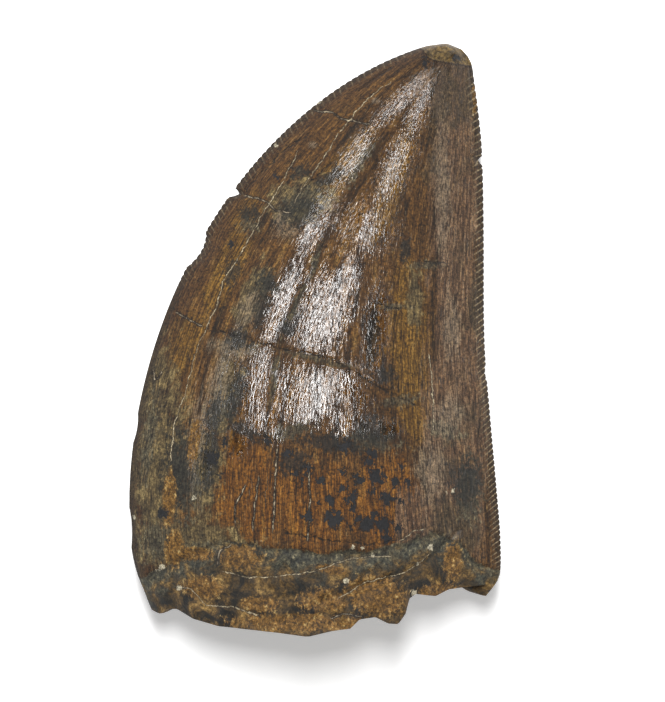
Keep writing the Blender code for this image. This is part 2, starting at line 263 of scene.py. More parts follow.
# Lumps: the height, the size across and along in mm, and the noise layer of each size
BAND_LUMPS = [
    (0.32, 2.1, 2.1, 0), (0.16, 2.1 / 2.3, 2.1 / 2.3, 5), (0.13, 0.75, 0.75, 11), (0.06, 0.38, 0.38, 17),
]
UPPER_LAYER, LOWER_LAYER = 1, 9


def lumpy(x, y, lumps, first_layer=0):
    """The height in mm of lumps of several sizes together, from smooth noise that needs no seed."""
    total = np.zeros(np.shape(x))
    for height, across, along, layer in lumps:
        places = zip(np.ravel(x) / across, np.ravel(y) / along)
        drawn = [noise.noise(Vector((a, b, first_layer + layer))) for a, b in places]
        total = total + height * np.reshape(drawn, np.shape(x))
    return total


def band_relief(x, y, upper, depth_in_band):
    band = ease(-LEDGE_HALF, LEDGE_HALF, depth_in_band)
    height = lumpy(x, y, BAND_LUMPS, UPPER_LAYER if upper else LOWER_LAYER) - ENAMEL_THICKNESS
    if upper:
        on_slab = ease(SLAB_FROM_X - SLAB_NEAR_SLOPE, SLAB_FROM_X, x)
        on_slab = on_slab * ease(-SLAB_FAR_HALF, SLAB_FAR_HALF, SLAB_TO_X - x)
        height = height + SLAB_HEIGHT * on_slab * ease(*SLAB_FRONT, along_line(FISSURE, x) - y)
    return band * height


print("ledge:", ENAMEL_THICKNESS, "mm high, with the slab", SLAB_HEIGHT, "mm above the dentine")

# %% [markdown]
# Denticles are the small chisels along each edge, 0.54 mm apart at the base and 0.84 mm at the tip. A row
# of them could be separate pieces, but on the tooth they are cuts between shapes that never part, so each
# slot is a dip in the edge line that runs a little way onto both faces, slanting towards the base. The
# front edge's slots are fainter.

# %% Denticles and chips
SPACING_AT_BREAK, SPACING_AT_TIP = 0.54, 0.84
DENTICLE_DEPTH = 0.12
SLOT_DEPTH, SLOT_REACH, SLOT_HALF, SLOT_SLANT = 0.1, 0.85, 0.24, 0.8
MESIAL_SLOTS_SHOW, DISTAL_SLOTS_SHOW = 0.4, 1.0
SERRATED_FADE = 0.03
MESIAL_SERRATED, DISTAL_SERRATED = (0.45, 0.96), (0.03, 0.93)
MESIAL_CHIPS = [(15.9, 0.5, 0.75), (9.6, 2.0, 0.65), (-10.0, 1.6, 0.2), (-21.0, 2.2, 0.25)]
DISTAL_CHIPS = [(19.4, 0.55, 0.4), (-4.0, 1.0, 0.15)]
CHIP_REACH = 2.4


def count_denticles(edge, share, inwards):
    """How many denticles lie between the break and this place, as a number that grows smoothly."""
    growth = (SPACING_AT_TIP - SPACING_AT_BREAK) / edge.length
    spacing = blend(SPACING_AT_BREAK, SPACING_AT_TIP, share)
    slanted = SLOT_SLANT * inwards / spacing
    return np.log1p(growth * share * edge.length / SPACING_AT_BREAK) / growth + slanted


def slot_depth(count):
    """1 in the middle of the slot between two denticles, 0 on a denticle."""
    part = count - np.floor(count)
    return np.clip(1 - np.minimum(part, 1 - part) / SLOT_HALF, 0, 1)


def chip_depth(chips, y):
    return sum(depth * np.clip(1 - ((y - at) / half) ** 2, 0, 1) for at, half, depth in chips)


print("denticles:", [int(count_denticles(edge, 1.0, 0)) for edge in (MESIAL, DISTAL)])

# %% [markdown]
# Cracks in the photograph are a pixel or two wide, finer than any mesh that exports well. A vertex
# therefore doesn't hold the colour of a crack but its distance to it, positive on one side and negative on
# the other. Distances blend exactly between vertices, and the material draws the line where they pass
# zero. Lines that cross each other go in different groups, and a weight ends each line where its path
# ends.

# %% Cracks, read from the photograph in pixels
LINE_GROUPS = {
    "pale_long": [
        [(298, 152), (281, 187), (268, 206), (253, 234), (243, 253), (227, 275), (220, 299), (208, 328),
         (201, 341), (194, 363), (189, 386), (182, 406), (176, 424), (172, 459)],
        [(390, 82), (374, 94), (357, 110), (349, 122), (335, 139), (323, 161), (312, 176), (301, 192),
         (295, 203)],
        [(429, 355), (432, 385), (433, 430)],
        [(178, 585), (191, 586), (209, 603), (237, 604), (259, 611)],
        [(225, 569), (243, 573), (270, 574), (295, 570), (317, 567), (353, 554), (390, 553)],
        [(339, 594), (359, 581), (386, 573), (406, 569), (418, 562), (428, 553)],
        [(400, 538), (412, 529), (425, 526)],
    ],
    "pale_cross": [
        [(314, 109), (332, 112), (344, 119), (357, 122), (370, 124)],
        [(243, 195), (258, 199), (268, 203), (277, 211), (290, 213)],
        [(178, 313), (190, 320), (203, 326)],
        [(279, 448), (277, 480), (275, 527)],
        [(261, 475), (257, 499), (254, 526)],
        [(247, 483), (237, 504), (237, 520)],
        [(309, 462), (311, 499), (309, 537)],
        [(154, 371), (155, 379), (159, 380), (162, 372)],
        [(332, 613), (345, 609), (360, 612)],
        [(219, 561), (222, 548), (232, 542)],
    ],
    "dark": [
        [(208, 328), (246, 338), (286, 349), (331, 358), (380, 387), (420, 407)],
        [(420, 262), (445, 263)],
        [(374, 302), (385, 307), (399, 309)],
        [(395, 316), (393, 350), (391, 395), (392, 440)],
        [(245, 190), (262, 172), (284, 150), (312, 132)],
        [(360, 90), (372, 80), (392, 66)],
        [(336, 158), (318, 176), (305, 190)],
        [(286, 528), (300, 531), (330, 537), (372, 541), (408, 536)],
    ],
}
LINE_REACH = 1.2
LINE_REACH_FADE, LINE_END_FADE = 0.4, 0.25
FAR = 99.0


def line_field(paths, x, y):
    """(signed distance to the nearest path in mm, weight) for places in mm."""
    nearest, signed, weight = np.full(x.shape, FAR), np.full(x.shape, FAR), np.zeros(x.shape)
    for path in paths:
        corners = [from_photo(*corner) for corner in path]
        for i, ((x0, y0), (x1, y1)) in enumerate(zip(corners, corners[1:])):
            dx, dy = x1 - x0, y1 - y0
            length = math.hypot(dx, dy)
            free = ((x - x0) * dx + (y - y0) * dy) / length**2
            t = np.clip(free, 0, 1)
            distance = np.hypot(x - x0 - t * dx, y - y0 - t * dy)
            side = np.where(dx * (y - y0) - dy * (x - x0) < 0, -1.0, 1.0)
            before_start = np.maximum(-free, 0) * (i == 0)
            past_end = np.maximum(free - 1, 0) * (i == len(path) - 2)
            closer = distance < nearest
            nearest = np.where(closer, distance, nearest)
            signed = np.where(closer, distance * side, signed)
            past = (before_start + past_end) * length
            weight = np.where(closer, np.clip(1 - past / LINE_END_FADE, 0, 1), weight)
    return signed, weight * ease(0, LINE_REACH_FADE, LINE_REACH - nearest)


print("cracks:", {name: len(paths) for name, paths in LINE_GROUPS.items()})

# %% [markdown]
# The enamel isn't one even swell. A shallow groove parts its two long gleams, and a low shoulder runs left
# of them. They could be modelled by hand on the mesh, but a path in pixels and a profile across it put
# them just where the photograph has its light, and keep them smooth.

# %% The groove and the shoulder, read from the photograph in pixels
LEFT_GLEAM = [(440, 66), (425, 80), (395, 115), (355, 165), (335, 200), (318, 250), (300, 290), (283, 330)]
RIGHT_GLEAM = [(446, 66), (432, 85), (412, 130), (391, 180), (373, 220), (357, 255), (346, 285)]
GLEAM_PROFILE = [(-0.2, 0.0), (0.2, -0.02), (0.5, -0.1), (0.8, -0.03), (1.2, 0.0)]
GROOVE_FADES_PX = (238, 285)
SHOULDER = [(292, 215), (284, 240), (268, 285), (252, 330), (240, 385), (236, 430)]
SHOULDER_HEIGHT, SHOULDER_WIDTH = 0.42, 2.3
GLEAM_GAP_LEAST = 0.2
GROOVE_BEFORE_TIP = (0.03, 0.08)
SHOULDER_AFTER_BREAK = (0.08, 0.3)


def gleam_relief(x, y, share):
    """The height in mm of the groove between the gleams and of the shoulder beside them."""
    paths = LEFT_GLEAM, RIGHT_GLEAM, SHOULDER
    of_left, of_right, of_shoulder = (line_field([path], x, y)[0] for path in paths)
    gap = np.maximum(of_left - of_right, GLEAM_GAP_LEAST)
    fade_top, fade_foot = (from_photo(0, py)[1] for py in GROOVE_FADES_PX)
    shown = ease(fade_foot, fade_top, y) * ease(*GROOVE_BEFORE_TIP, 1 - share)
    groove = shown * gap * along_line(GLEAM_PROFILE, of_left / gap)
    shoulder = SHOULDER_HEIGHT * np.exp(-((of_shoulder / SHOULDER_WIDTH) ** 2))
    return groove + shoulder * ease(*SHOULDER_AFTER_BREAK, share)


print("groove:", -min(depth for _, depth in GLEAM_PROFILE), "of the gap, shoulder:", SHOULDER_HEIGHT, "mm")

# %% [markdown]
# Stains have soft, blotchy borders. Each is a short list of ellipses chosen on the photograph: middle,
# half-width, half-height and lean. A vertex holds 1 in an ellipse's middle, 0 on its rim and less outside,
# and the material roughens that rim with noise, so the ellipse never shows.

# %% Stains and painted sheen, read from the photograph in pixels: x, y, half-width, half-height, lean in degrees
STAINS = {
    "orange": [
        (408, 340, 22, 95, 0), (245, 215, 16, 30, 20), (385, 200, 10, 50, 14), (228, 270, 18, 60, 24),
        (184, 345, 20, 44, 20), (400, 170, 9, 60, 12), (345, 165, 14, 55, 38), (415, 395, 16, 60, 0),
    ],
    "rust": [(252, 492, 48, 56, 0), (318, 500, 44, 52, 0), (388, 500, 36, 56, 0)],
    "grime": [
        (190, 475, 24, 60, 6), (226, 402, 18, 40, 14), (240, 345, 30, 14, 0), (300, 202, 36, 14, -30),
        (290, 430, 34, 10, -14), (372, 440, 40, 13, 10), (268, 285, 18, 18, 0), (250, 225, 14, 14, 0),
        (160, 540, 30, 30, 0), (470, 490, 18, 50, 0), (425, 265, 22, 6, 0), (390, 307, 22, 5, 0),
        (400, 400, 30, 8, -10), (225, 545, 60, 10, 0), (150, 440, 10, 60, 8), (322, 360, 54, 5, 14),
        (296, 308, 5, 40, 24), (276, 375, 5, 40, 9), (316, 262, 5, 24, 14), (440, 545, 30, 16, 0),
        (445, 430, 26, 12, 20), (360, 165, 7, 40, 30),
    ],
    "olive": [
        (160, 460, 34, 110, 6), (190, 542, 66, 28, -8), (152, 385, 20, 55, 14),
        (225, 395, 18, 60, 12), (208, 470, 20, 60, 4), (300, 200, 40, 26, -20), (250, 300, 14, 50, 20),
        (415, 300, 10, 40, 0),
    ],
    "facet": [
        (455, 190, 27, 170, 2), (462, 400, 34, 170, -2), (446, 110, 14, 60, 0), (440, 520, 50, 50, 0),
        (445, 440, 26, 80, 0),
    ],
    "mottle": [
        (300, 172, 14, 8, -20), (250, 213, 15, 10, 0), (268, 283, 13, 15, 0), (233, 272, 11, 22, 20),
        (240, 340, 16, 15, 0), (212, 458, 12, 44, 4), (246, 430, 26, 12, 20), (334, 442, 44, 12, 6),
        (372, 430, 22, 20, 0), (372, 340, 8, 44, 6), (466, 480, 20, 30, 0),
        (238, 395, 10, 44, 12), (262, 310, 10, 30, 20), (405, 250, 8, 16, 0), (296, 462, 24, 16, 0),
        (385, 375, 14, 12, 0), (216, 415, 10, 28, 12), (290, 330, 12, 9, 0), (330, 178, 24, 8, -30),
        (300, 215, 30, 20, -20), (180, 470, 20, 60, 5),
    ],
    "tan": [
        (242, 554, 24, 13, 0), (376, 592, 34, 20, 10), (196, 552, 22, 7, 0), (300, 618, 74, 9, 0),
        (452, 560, 10, 20, 0), (171, 497, 7, 28, 4), (476, 97, 3, 18, 0), (325, 596, 28, 12, 0),
        (176, 548, 10, 20, 0), (196, 440, 6, 26, 8), (440, 588, 22, 7, 0), (332, 566, 18, 5, 10),
        (205, 585, 20, 12, 0), (262, 600, 20, 8, 0),
    ],
    "dull": [
        (300, 500, 90, 46, 0), (400, 500, 50, 50, 0), (326, 362, 50, 4, 14), (390, 395, 30, 9, 18),
        (318, 262, 4, 24, 14), (296, 305, 4, 30, 24), (280, 350, 4, 26, 12), (272, 392, 4, 26, 8),
        (336, 262, 8, 9, 0), (354, 336, 8, 16, 0),
    ],
    "glitter": [
        (405, 97, 11, 48, 47), (353, 157, 12, 40, 32), (319, 220, 13, 46, 25), (284, 305, 14, 54, 21),
        (258, 380, 17, 42, 10), (420, 105, 13, 44, 20), (395, 170, 17, 50, 22), (364, 228, 32, 28, 10),
        (322, 314, 36, 50, 14), (346, 276, 18, 28, 0), (300, 392, 64, 30, 3), (345, 385, 36, 26, 0),
        (262, 418, 18, 14, 0), (300, 412, 26, 12, 0), (352, 420, 22, 14, 0), (375, 330, 14, 50, 6),
        (276, 432, 9, 12, 0), (388, 428, 14, 10, 0), (240, 440, 12, 16, 0),
        (232, 372, 10, 40, 12), (205, 450, 10, 40, 6),
    ],
    # Patches of painted sheen: pale grey where the satin enamel catches a soft reflection
    "painted_sheen": [
        (313, 145, 6, 5, 0), (376, 101, 6, 4, 0), (290, 232, 20, 12, -20), (250, 312, 14, 26, 20),
        (200, 430, 14, 50, 6), (284, 222, 12, 16, 0), (222, 378, 16, 40, 10), (430, 470, 20, 36, 0),
        (448, 415, 20, 26, 20), (452, 330, 12, 40, 0), (232, 350, 30, 14, 10), (443, 190, 10, 90, 0),
    ],
}


def stain_field(stains, x, y):
    field = np.full(x.shape, -1.0)
    for px, py, half_width, half_height, lean in stains:
        cx, cy = from_photo(px, py)
        turn = math.radians(lean)
        across = ((x - cx) * math.cos(turn) - (y - cy) * math.sin(turn)) / (half_width * PIXEL_MM)
        along = ((x - cx) * math.sin(turn) + (y - cy) * math.cos(turn)) / (half_height * PIXEL_MM)
        field = np.maximum(field, 1 - np.hypot(across, along))
    return field


print("stains:", {name: len(stains) for name, stains in STAINS.items()})

# %% [markdown]
# Manganese left round black spots, and pale grains of sediment stick here and there. Both are small and
# nearly round on the real tooth, so a middle and a radius say enough. A painted image could hold them
# too, but the mesh already carries numbers, and one more costs nothing.

# %% Spots and flecks, read from the photograph in pixels: x, y, radius
SPOTS = [
    (343, 485, 4), (334, 516, 9), (367, 521, 8), (383, 522, 8), (387, 497, 7), (309, 466, 4), (302, 480, 4),
    (352, 506, 4), (377, 474, 8), (359, 477, 5), (309, 512, 6), (386, 534, 5), (214, 456, 6), (223, 472, 3),
    (165, 512, 5), (231, 244, 3), (350, 524, 4), (360, 516, 5), (375, 512, 4), (226, 441, 3), (396, 480, 4),
    (296, 470, 4), (322, 478, 4), (331, 497, 5), (345, 470, 4), (352, 495, 6), (318, 500, 3), (290, 450, 4),
    (270, 440, 5), (345, 445, 6), (368, 462, 5), (408, 480, 4), (404, 500, 4), (398, 525, 5),
    (372, 490, 3), (372, 452, 5), (400, 465, 4), (277, 176, 3), (457, 57, 4), (427, 62, 4),
]
FLECKS = [
    (163, 566, 3), (346, 577, 2.6), (430, 545, 3), (413, 590, 3), (276, 145, 2), (196, 496, 2),
    (417, 562, 2.4), (318, 101, 2), (180, 586, 2.5), (353, 544, 1.6), (362, 545, 1.4), (158, 568, 2),
    (135, 517, 2), (373, 552, 2), (452, 489, 1.8), (446, 491, 1.5),
]


def spot_field(spots, x, y):
    """How far inside the nearest round spot a place is, in mm, negative outside."""
    field = np.full(x.shape, -1.0)
    for px, py, radius in spots:
        cx, cy = from_photo(px, py)
        field = np.maximum(field, radius * PIXEL_MM - np.hypot(x - cx, y - cy))
    return field


print("spots:", len(SPOTS), "flecks:", len(FLECKS))

# %% [markdown]
# Along each edge the denticles and the chips push the edge line inwards, and the slots run on over the
# face as shallow cuts. Both edges get the same treatment, so one function walks over the two, and gives
# the numbers that the material needs to darken the slots.

# %% The edges' denticles and chips as fields
EDGES = (
    (MESIAL, MESIAL_SERRATED, MESIAL_CHIPS, MESIAL_SLOTS_SHOW, 1),
    (DISTAL, DISTAL_SERRATED, DISTAL_CHIPS, DISTAL_SLOTS_SHOW, -1),
)


def edge_cuts(share, across, reach):
    """(inward shift in mm, slot depth from 0 to 1, fields) for places on rows that are reach mm long."""
    inward, slots, serrated, count = (np.zeros(share.shape) for _ in range(4))
    distances = across * reach, (1 - across) * reach
    for (rail, (first, last), chips, shows, sign), distance in zip(EDGES, distances):
        strength = ease(first, first + SERRATED_FADE, share) * ease(0, SERRATED_FADE, last - share)
        counted = count_denticles(rail, share, distance)
        slot = slot_depth(counted) * strength * np.clip(1 - distance / SLOT_REACH, 0, 1)
        chipped = chip_depth(chips, rail.at(share)[1]) * np.clip(1 - distance / CHIP_REACH, 0, 1)
        inward = inward + sign * (DENTICLE_DEPTH * slot + chipped)
        slots = slots + slot
        here = distance <= reach / 2
        serrated = np.where(here, strength * shows, serrated)
        count = np.where(here, counted, count)
    edge = np.minimum(*distances)
    return inward, slots, {"edge": edge, "mesial": distances[0], "serrated": serrated, "count": count}


print("chips:", len(MESIAL_CHIPS), "on the mesial edge,", len(DISTAL_CHIPS), "on the distal edge")

# %% [markdown]
# One function now gives a face of the crown: where each vertex lies and what every field holds there. The
# hidden lower face has its own band and break, and the same kinds of crack and stain, mirrored and moved.
# The worn field is given on the upper face only. The lower face keeps 0, where that field's masks are
# partly full, so the worn tones cover it: a fault that is left, and that the camera doesn't see.

# %% A face of the crown
FIELD_GROUPS = {
    "crown": ("across", "along", "edge"),
    "lines": ("pale_long", "pale_cross", "dark"),
    "line_weights": ("pale_long_weight", "pale_cross_weight", "dark_weight"),
    "stains": ("orange", "olive", "facet"),
    "polish": ("glitter", "painted_sheen", "dull"),
    "blotches": ("mottle", "tan", "mesial"),
    "marks": ("band", "spots", "flecks"),
    "ends": ("worn", "inward", "count"),
    "teeth": ("serrated", "rust", "grime"),
}
CRACK_DEPTH, CRACK_WIDTH = 0.09, 0.13
BREAK_BEND = 1.6
LEDGE_WAVES = [(0.35, 1.7, 1.7, 21), (0.2, 0.6, 0.6, 22)]
SWELLS = [(0.05, 2.6, 6.5, 31), (0.02, 0.8, 1.28, 33)]
SPALL_LUMPS = [(0.25, 0.9, 0.9, 41), (0.12, 0.4, 0.4, 43)]
SPALL_RIM = (-0.1, 0.25)
CALM_AT_EDGE = 0.5
HIDDEN_SIDE_SHIFT = (1.4, 1.9)
fissure_px = [(x / PIXEL_MM + BOX_MIDDLE_PX[0], BOX_MIDDLE_PX[1] - y / PIXEL_MM) for x, y in FISSURE]


def crown_face(share, across, upper):
    """((x, y, z) in mm, fields) for places on the upper or lower face, given as arrays of one shape."""
    (mx, my), (dx, dy) = MESIAL.at(share), DISTAL.at(share)
    reach = np.hypot(dx - mx, dy - my)
    x, y = blend(mx, dx, across), blend(my, dy, across)
    start_x, start_y = (blend(MESIAL.points[0][axis], DISTAL.points[0][axis], across) for axis in (0, 1))
    to_break = along_line(UPPER_BREAK if upper else LOWER_BREAK, start_x) - start_y
    y = y + to_break * np.clip(1 - share / BREAK_REACH, 0, 1) ** BREAK_BEND
    paint_x, paint_y = (x, y) if upper else (HIDDEN_SIDE_SHIFT[0] - x, y - HIDDEN_SIDE_SHIFT[1])
    ledge = along_line(ENAMEL_EDGE if upper else LOWER_ENAMEL_EDGE, x)
    fields = {"band": ledge - y + lumpy(x, y, LEDGE_WAVES)}
    fields |= {"across": across * CROWN_LENGTH, "along": share * CROWN_HEIGHT}
    relief = band_relief(x, y, upper, fields["band"])
    relief = relief + lumpy(x, y, SWELLS) * ease(-LEDGE_HALF, LEDGE_HALF, -fields["band"])
    for name, paths in LINE_GROUPS.items():
        signed, weight = line_field(paths, paint_x, paint_y)
        fields |= {name: signed, name + "_weight": weight}
        relief = relief - CRACK_DEPTH * weight * np.exp(-((signed / CRACK_WIDTH) ** 2))
    fields |= {name: stain_field(stains, paint_x, paint_y) for name, stains in STAINS.items()}
    fields |= {"spots": spot_field(SPOTS, paint_x, paint_y), "flecks": spot_field(FLECKS, paint_x, paint_y)}
    if upper:
        fissure = line_field([fissure_px], x, y)[0]
        relief = relief + gleam_relief(x, y, share)
        relief = relief - FISSURE_DEPTH * np.exp(-((fissure / FISSURE_WIDTH) ** 2))
    inward, slots, edge_fields = edge_cuts(share, across, reach)
    fields |= edge_fields
    x, y = x + inward * (dx - mx) / reach, y + inward * (dy - my) / reach
    relief = (relief - SLOT_DEPTH * slots) * ease(0.0, CALM_AT_EDGE, fields["edge"])
    z = smooth_height(share, across, upper)
    if not upper:
        return (x, y, np.maximum(0.0, z - relief)), fields
    fields["worn"] = y - along_line([from_photo(*corner) for corner in SPALL_EDGE_PX], x)
    spall = SPALL_DEPTH + lumpy(x, y, SPALL_LUMPS)
    z = z + relief - spall * ease(*SPALL_RIM, fields["worn"])
    return (x, y, np.maximum(z, edge_height(share, across))), fields


print("fields on each vertex:", sum(len(names) for names in FIELD_GROUPS.values()))

# %% [markdown]
# The mesh is woven from grids: one for each face, a finer strip along each edge where the denticles need
# ten rows each, and triangles that stitch a strip to its coarser face. All of them are numbered in one
# skin.

# %% Gather vertices, faces and fields
class Skin:
    """Vertices, faces and fields, gathered block by block."""

    def __init__(self):
        self.points, self.fields, self.faces, self.count = [], [], [], 0

    def add(self, points, fields):
        """Adds arrays of one shape and gives the new vertices' numbers in that shape."""
        shape = points[0].shape
        self.points.append(np.stack([np.ravel(p) for p in points], 1))
        names = [name for group in FIELD_GROUPS.values() for name in group]
        columns = [np.broadcast_to(fields.get(name, 0.0), shape).ravel() for name in names]
        self.fields.append(np.stack(columns, 1))
        numbers = np.arange(self.count, self.count + self.points[-1].shape[0]).reshape(shape)
        self.count += numbers.size
        return numbers

    def weave(self, grid):
        corners = grid[:-1, :-1], grid[:-1, 1:], grid[1:, 1:], grid[1:, :-1]
        self.faces += np.stack([c.ravel() for c in corners], 1).tolist()

    def stitch(self, fine, fine_shares, coarse, coarse_shares):
        """Joins two lines of vertices by triangles, in order of their shares."""
        i = j = 0
        while i < len(fine) - 1 or j < len(coarse) - 1:
            if j == len(coarse) - 1 or (i < len(fine) - 1 and fine_shares[i + 1] <= coarse_shares[j + 1]):
                self.faces.append([fine[i], fine[i + 1], coarse[j]])
                i += 1
            else:
                self.faces.append([fine[i], coarse[j + 1], coarse[j]])
                j += 1


skin = Skin()
print("an empty skin:", skin.count, "vertices")

# %% [markdown]
# Each face is woven in rows from edge to edge. One even grid fine enough for the denticles would need
# millions of vertices, so only a strip 0.8 mm wide along each edge has the fine rows, and the middle of
# each face, where the photograph shows most, has closer rows on the upper side than on the hidden one.

# %% Weave the crown
LAST_ROW = 0.994
UPPER_ROWS, UPPER_COLUMNS = 340, 158
LOWER_ROWS, LOWER_COLUMNS = 190, 84
STRIP_ROWS = 760
STRIP_WIDTH, STRIP_MOST = 0.8, 0.12
STRIP_STEPS = np.array([0.0, 0.22, 0.45, 0.68, 0.87])


def strip_share(share):
    """The share of a row's length that the serrated strip takes at each end."""
    (mx, my), (dx, dy) = MESIAL.at(share), DISTAL.at(share)
    return np.minimum(STRIP_WIDTH / np.hypot(dx - mx, dy - my), STRIP_MOST)


fine_rows = np.linspace(0, LAST_ROW, STRIP_ROWS)
edge_lines = {}
for side in (0, 1):
    (x, y, _), fields = crown_face(fine_rows, np.full(STRIP_ROWS, float(side)), True)
    edge_lines[side] = skin.add((x, y, edge_height(fine_rows, float(side))), fields)
faces = {}
for upper, rows, columns in ((True, UPPER_ROWS, UPPER_COLUMNS), (False, LOWER_ROWS, LOWER_COLUMNS)):
    shares = np.linspace(0, LAST_ROW, rows)
    strip = strip_share(shares)[:, None]
    across = strip + (1 - 2 * strip) * np.linspace(0, 1, columns)[None, :]
    body = skin.add(*crown_face(np.broadcast_to(shares[:, None], across.shape), across, upper))
    skin.weave(body)
    faces[upper] = {"body": body}
    for side in (0, 1):
        inwards = strip_share(fine_rows)[:, None] * STRIP_STEPS[None, 1:]
        across = inwards if side == 0 else 1 - inwards
        own = skin.add(*crown_face(np.broadcast_to(fine_rows[:, None], across.shape), across, upper))
        grid = np.concatenate([edge_lines[side][:, None], own], 1)
        skin.weave(grid)
        skin.stitch(grid[:, -1], fine_rows, body[:, 0 if side == 0 else -1], shares)
        faces[upper][side] = grid
print("crown:", skin.count, "vertices")

# %% [markdown]
# The two open ends are closed from their rims. The tip is a small fan. The broken end is a stack of
# shrinking rings that leave the jagged rim and settle on a rough face, sunk in the middle where the pulp
# cavity was: on the real fossil it is filled with the sediment that buried the tooth.

# %% Close the tip and the break
BREAK_RINGS = 26
BREAK_CENTRE = (0.6, 8.2)
BREAK_FLOOR = [(-18.4, -28.0), (-12.0, -29.2), (-2.0, -30.0), (5.0, -29.0), (10.0, -26.9), (19.5, -26.2)]
BREAK_LUMPS = [(0.6, 3.1, 2.2, 3), (0.3, 1.3, 1.1, 7)]
BREAK_GRAIN = [(0.16, 0.55, 0.55, 8), (0.08, 0.27, 0.27, 9)]
HOLLOW_DEPTH, HOLLOW_WALL = 1.4, (0.3, 0.5)
GRAIN_FROM_RIM, ROUGH_FROM_RIM = (0.02, 0.1), (0.0, 0.2)
RING_SPREAD = 1.15
BEYOND = 9.0
TIP_ACROSS, TIP_EDGE = 20.0, 0.2
UNMARKED = dict.fromkeys([*STAINS, "spots", "flecks"], -1.0) | dict.fromkeys(LINE_GROUPS, BEYOND)


def rim(row):
    """The numbers of the vertices round the crown at its first or last row."""
    up, down = faces[True], faces[False]
    return np.concatenate([
        up[0][row], up["body"][row], up[1][row][::-1],
        down[1][row][1:], down["body"][row][::-1], down[0][row][1:][::-1],
    ])


def broken_y(x, z, inward):
    floor = along_curve(BREAK_FLOOR, x) + HOLLOW_DEPTH * ease(*HOLLOW_WALL, inward)
    return floor + lumpy(x, z, BREAK_LUMPS) + lumpy(x, z, BREAK_GRAIN) * ease(*GRAIN_FROM_RIM, inward)


ring = rim(0)
rim_points = np.concatenate(skin.points)[ring]
for step in range(1, BREAK_RINGS + 1):
    inward = np.full(len(ring), (step / (BREAK_RINGS + 1)) ** RING_SPREAD)
    x, z = (blend(rim_points[:, axis], to, inward) for axis, to in zip((0, 2), BREAK_CENTRE))
    y = blend(rim_points[:, 1], broken_y(x, z, inward), ease(*ROUGH_FROM_RIM, inward))
    fields = UNMARKED | dict.fromkeys(("band", "edge", "mesial"), BEYOND)
    fields |= {"inward": inward, "across": x, "along": z}
    inner = skin.add((x, y, z), fields)
    skin.weave(np.stack([np.append(ring, ring[0]), np.append(inner, inner[0])]))
    ring = inner
centre = np.array(BREAK_CENTRE)
centre_fields = fields | {name: value[:1] for name, value in fields.items() if np.ndim(value)}
middle = skin.add((centre[:1], broken_y(centre[:1], centre[1:], 1.0), centre[1:]), centre_fields)
skin.faces += [[a, b, middle[0]] for a, b in zip(ring, np.roll(ring, -1))]
tip_ring = rim(-1)
tip_fields = UNMARKED | {"worn": 1.0, "band": -BEYOND}
tip_fields |= {"across": TIP_ACROSS, "along": CROWN_HEIGHT, "edge": TIP_EDGE}
tip_point = [np.array([value]) for value in (*APEX, float(edge_height(1.0, 0.5)))]
tip = skin.add(tip_point, tip_fields)
skin.faces += [[a, b, tip[0]] for a, b in zip(tip_ring, np.roll(tip_ring, -1))]
print("with its ends:", skin.count, "vertices,", len(skin.faces), "faces")

# %% [markdown]
# The skin becomes a mesh in metres, with the middle of its box over the middle of the solid model's. A
# denticle that would stand a hair outside that box is trimmed to it, so the two models share one size.

# %% Make the mesh
SHARP_ANGLE = math.radians(60)
points = np.concatenate(skin.points)
low, high = points.min(0), points.max(0)
points -= [(low[0] + high[0]) / 2, (low[1] + high[1]) / 2, low[2]]
points = np.clip(points * MM, np.array(cad_low), np.array(cad_high))
mesh = bpy.data.meshes.new("tooth_crown")
mesh.from_pydata(points, [], skin.faces)
values = np.concatenate(skin.fields)
for i, group in enumerate(FIELD_GROUPS):
    attribute = mesh.attributes.new(group, "FLOAT_VECTOR", "POINT")
    of_group = np.ascontiguousarray(values[:, 3 * i : 3 * i + 3], np.float32)
    attribute.data.foreach_set("vector", of_group.ravel())
work = bmesh.new()
work.from_mesh(mesh)
bmesh.ops.recalc_face_normals(work, faces=work.faces)
work.to_mesh(mesh)
work.free()
mesh.shade_smooth()
mesh.set_sharp_from_angle(angle=SHARP_ANGLE)
tooth = bpy.data.objects.new("tooth_crown", mesh)
bpy.context.scene.collection.objects.link(tooth)
mesh.calc_loop_triangles()
print("mesh:", len(mesh.loop_triangles), "triangles")

# %% [markdown]
# The material is fossil enamel: hydroxyapatite grown in fine fibres along the crown, stained brown by iron
# and black by manganese. To the eye it is streaky and warm. Where it is polished under a thin coat of
# resin it shines with crisp broken glints, and where it has weathered it is dull. The dentine below the
# ledge is matt, porous and ochre. It could be two materials with a border, but stains and cracks run
# across that border, so one material holds both, and masks tell them apart.

# %% Colours and the node helper
def linear(hex_colour):
    """An sRGB hex colour as the linear numbers that the shader takes."""
    parts = [int(hex_colour[i : i + 2], 16) / 255 for i in (1, 3, 5)]
    return (*[c / 12.92 if c <= 0.04045 else ((c + 0.055) / 1.055) ** 2.4 for c in parts], 1.0)


def add(tree, kind, inputs, ramp=(), **settings):
    """One node with its settings, a value or a link for each input named, and a colour ramp's stops."""
    node = tree.nodes.new("ShaderNode" + kind)
    for name, value in settings.items():
        setattr(node, name, value)
    for key, value in inputs.items():
        if isinstance(value, bpy.types.NodeSocket):
            tree.links.new(value, node.inputs[key])
        else:
            node.inputs[key].default_value = value
    for i, (place, colour) in enumerate(ramp):
        stop = node.color_ramp.elements[i] if i < 2 else node.color_ramp.elements.new(place)
        stop.position, stop.color = place, linear(colour)
    return node


material = bpy.data.materials.new("fossil_enamel_and_dentine")
material.use_nodes = True
tree = material.node_tree
shader = tree.nodes["Principled BSDF"]
mesh.materials.append(material)
print("a mid brown in linear light:", [round(c, 3) for c in linear("#5a3c18")[:3]])

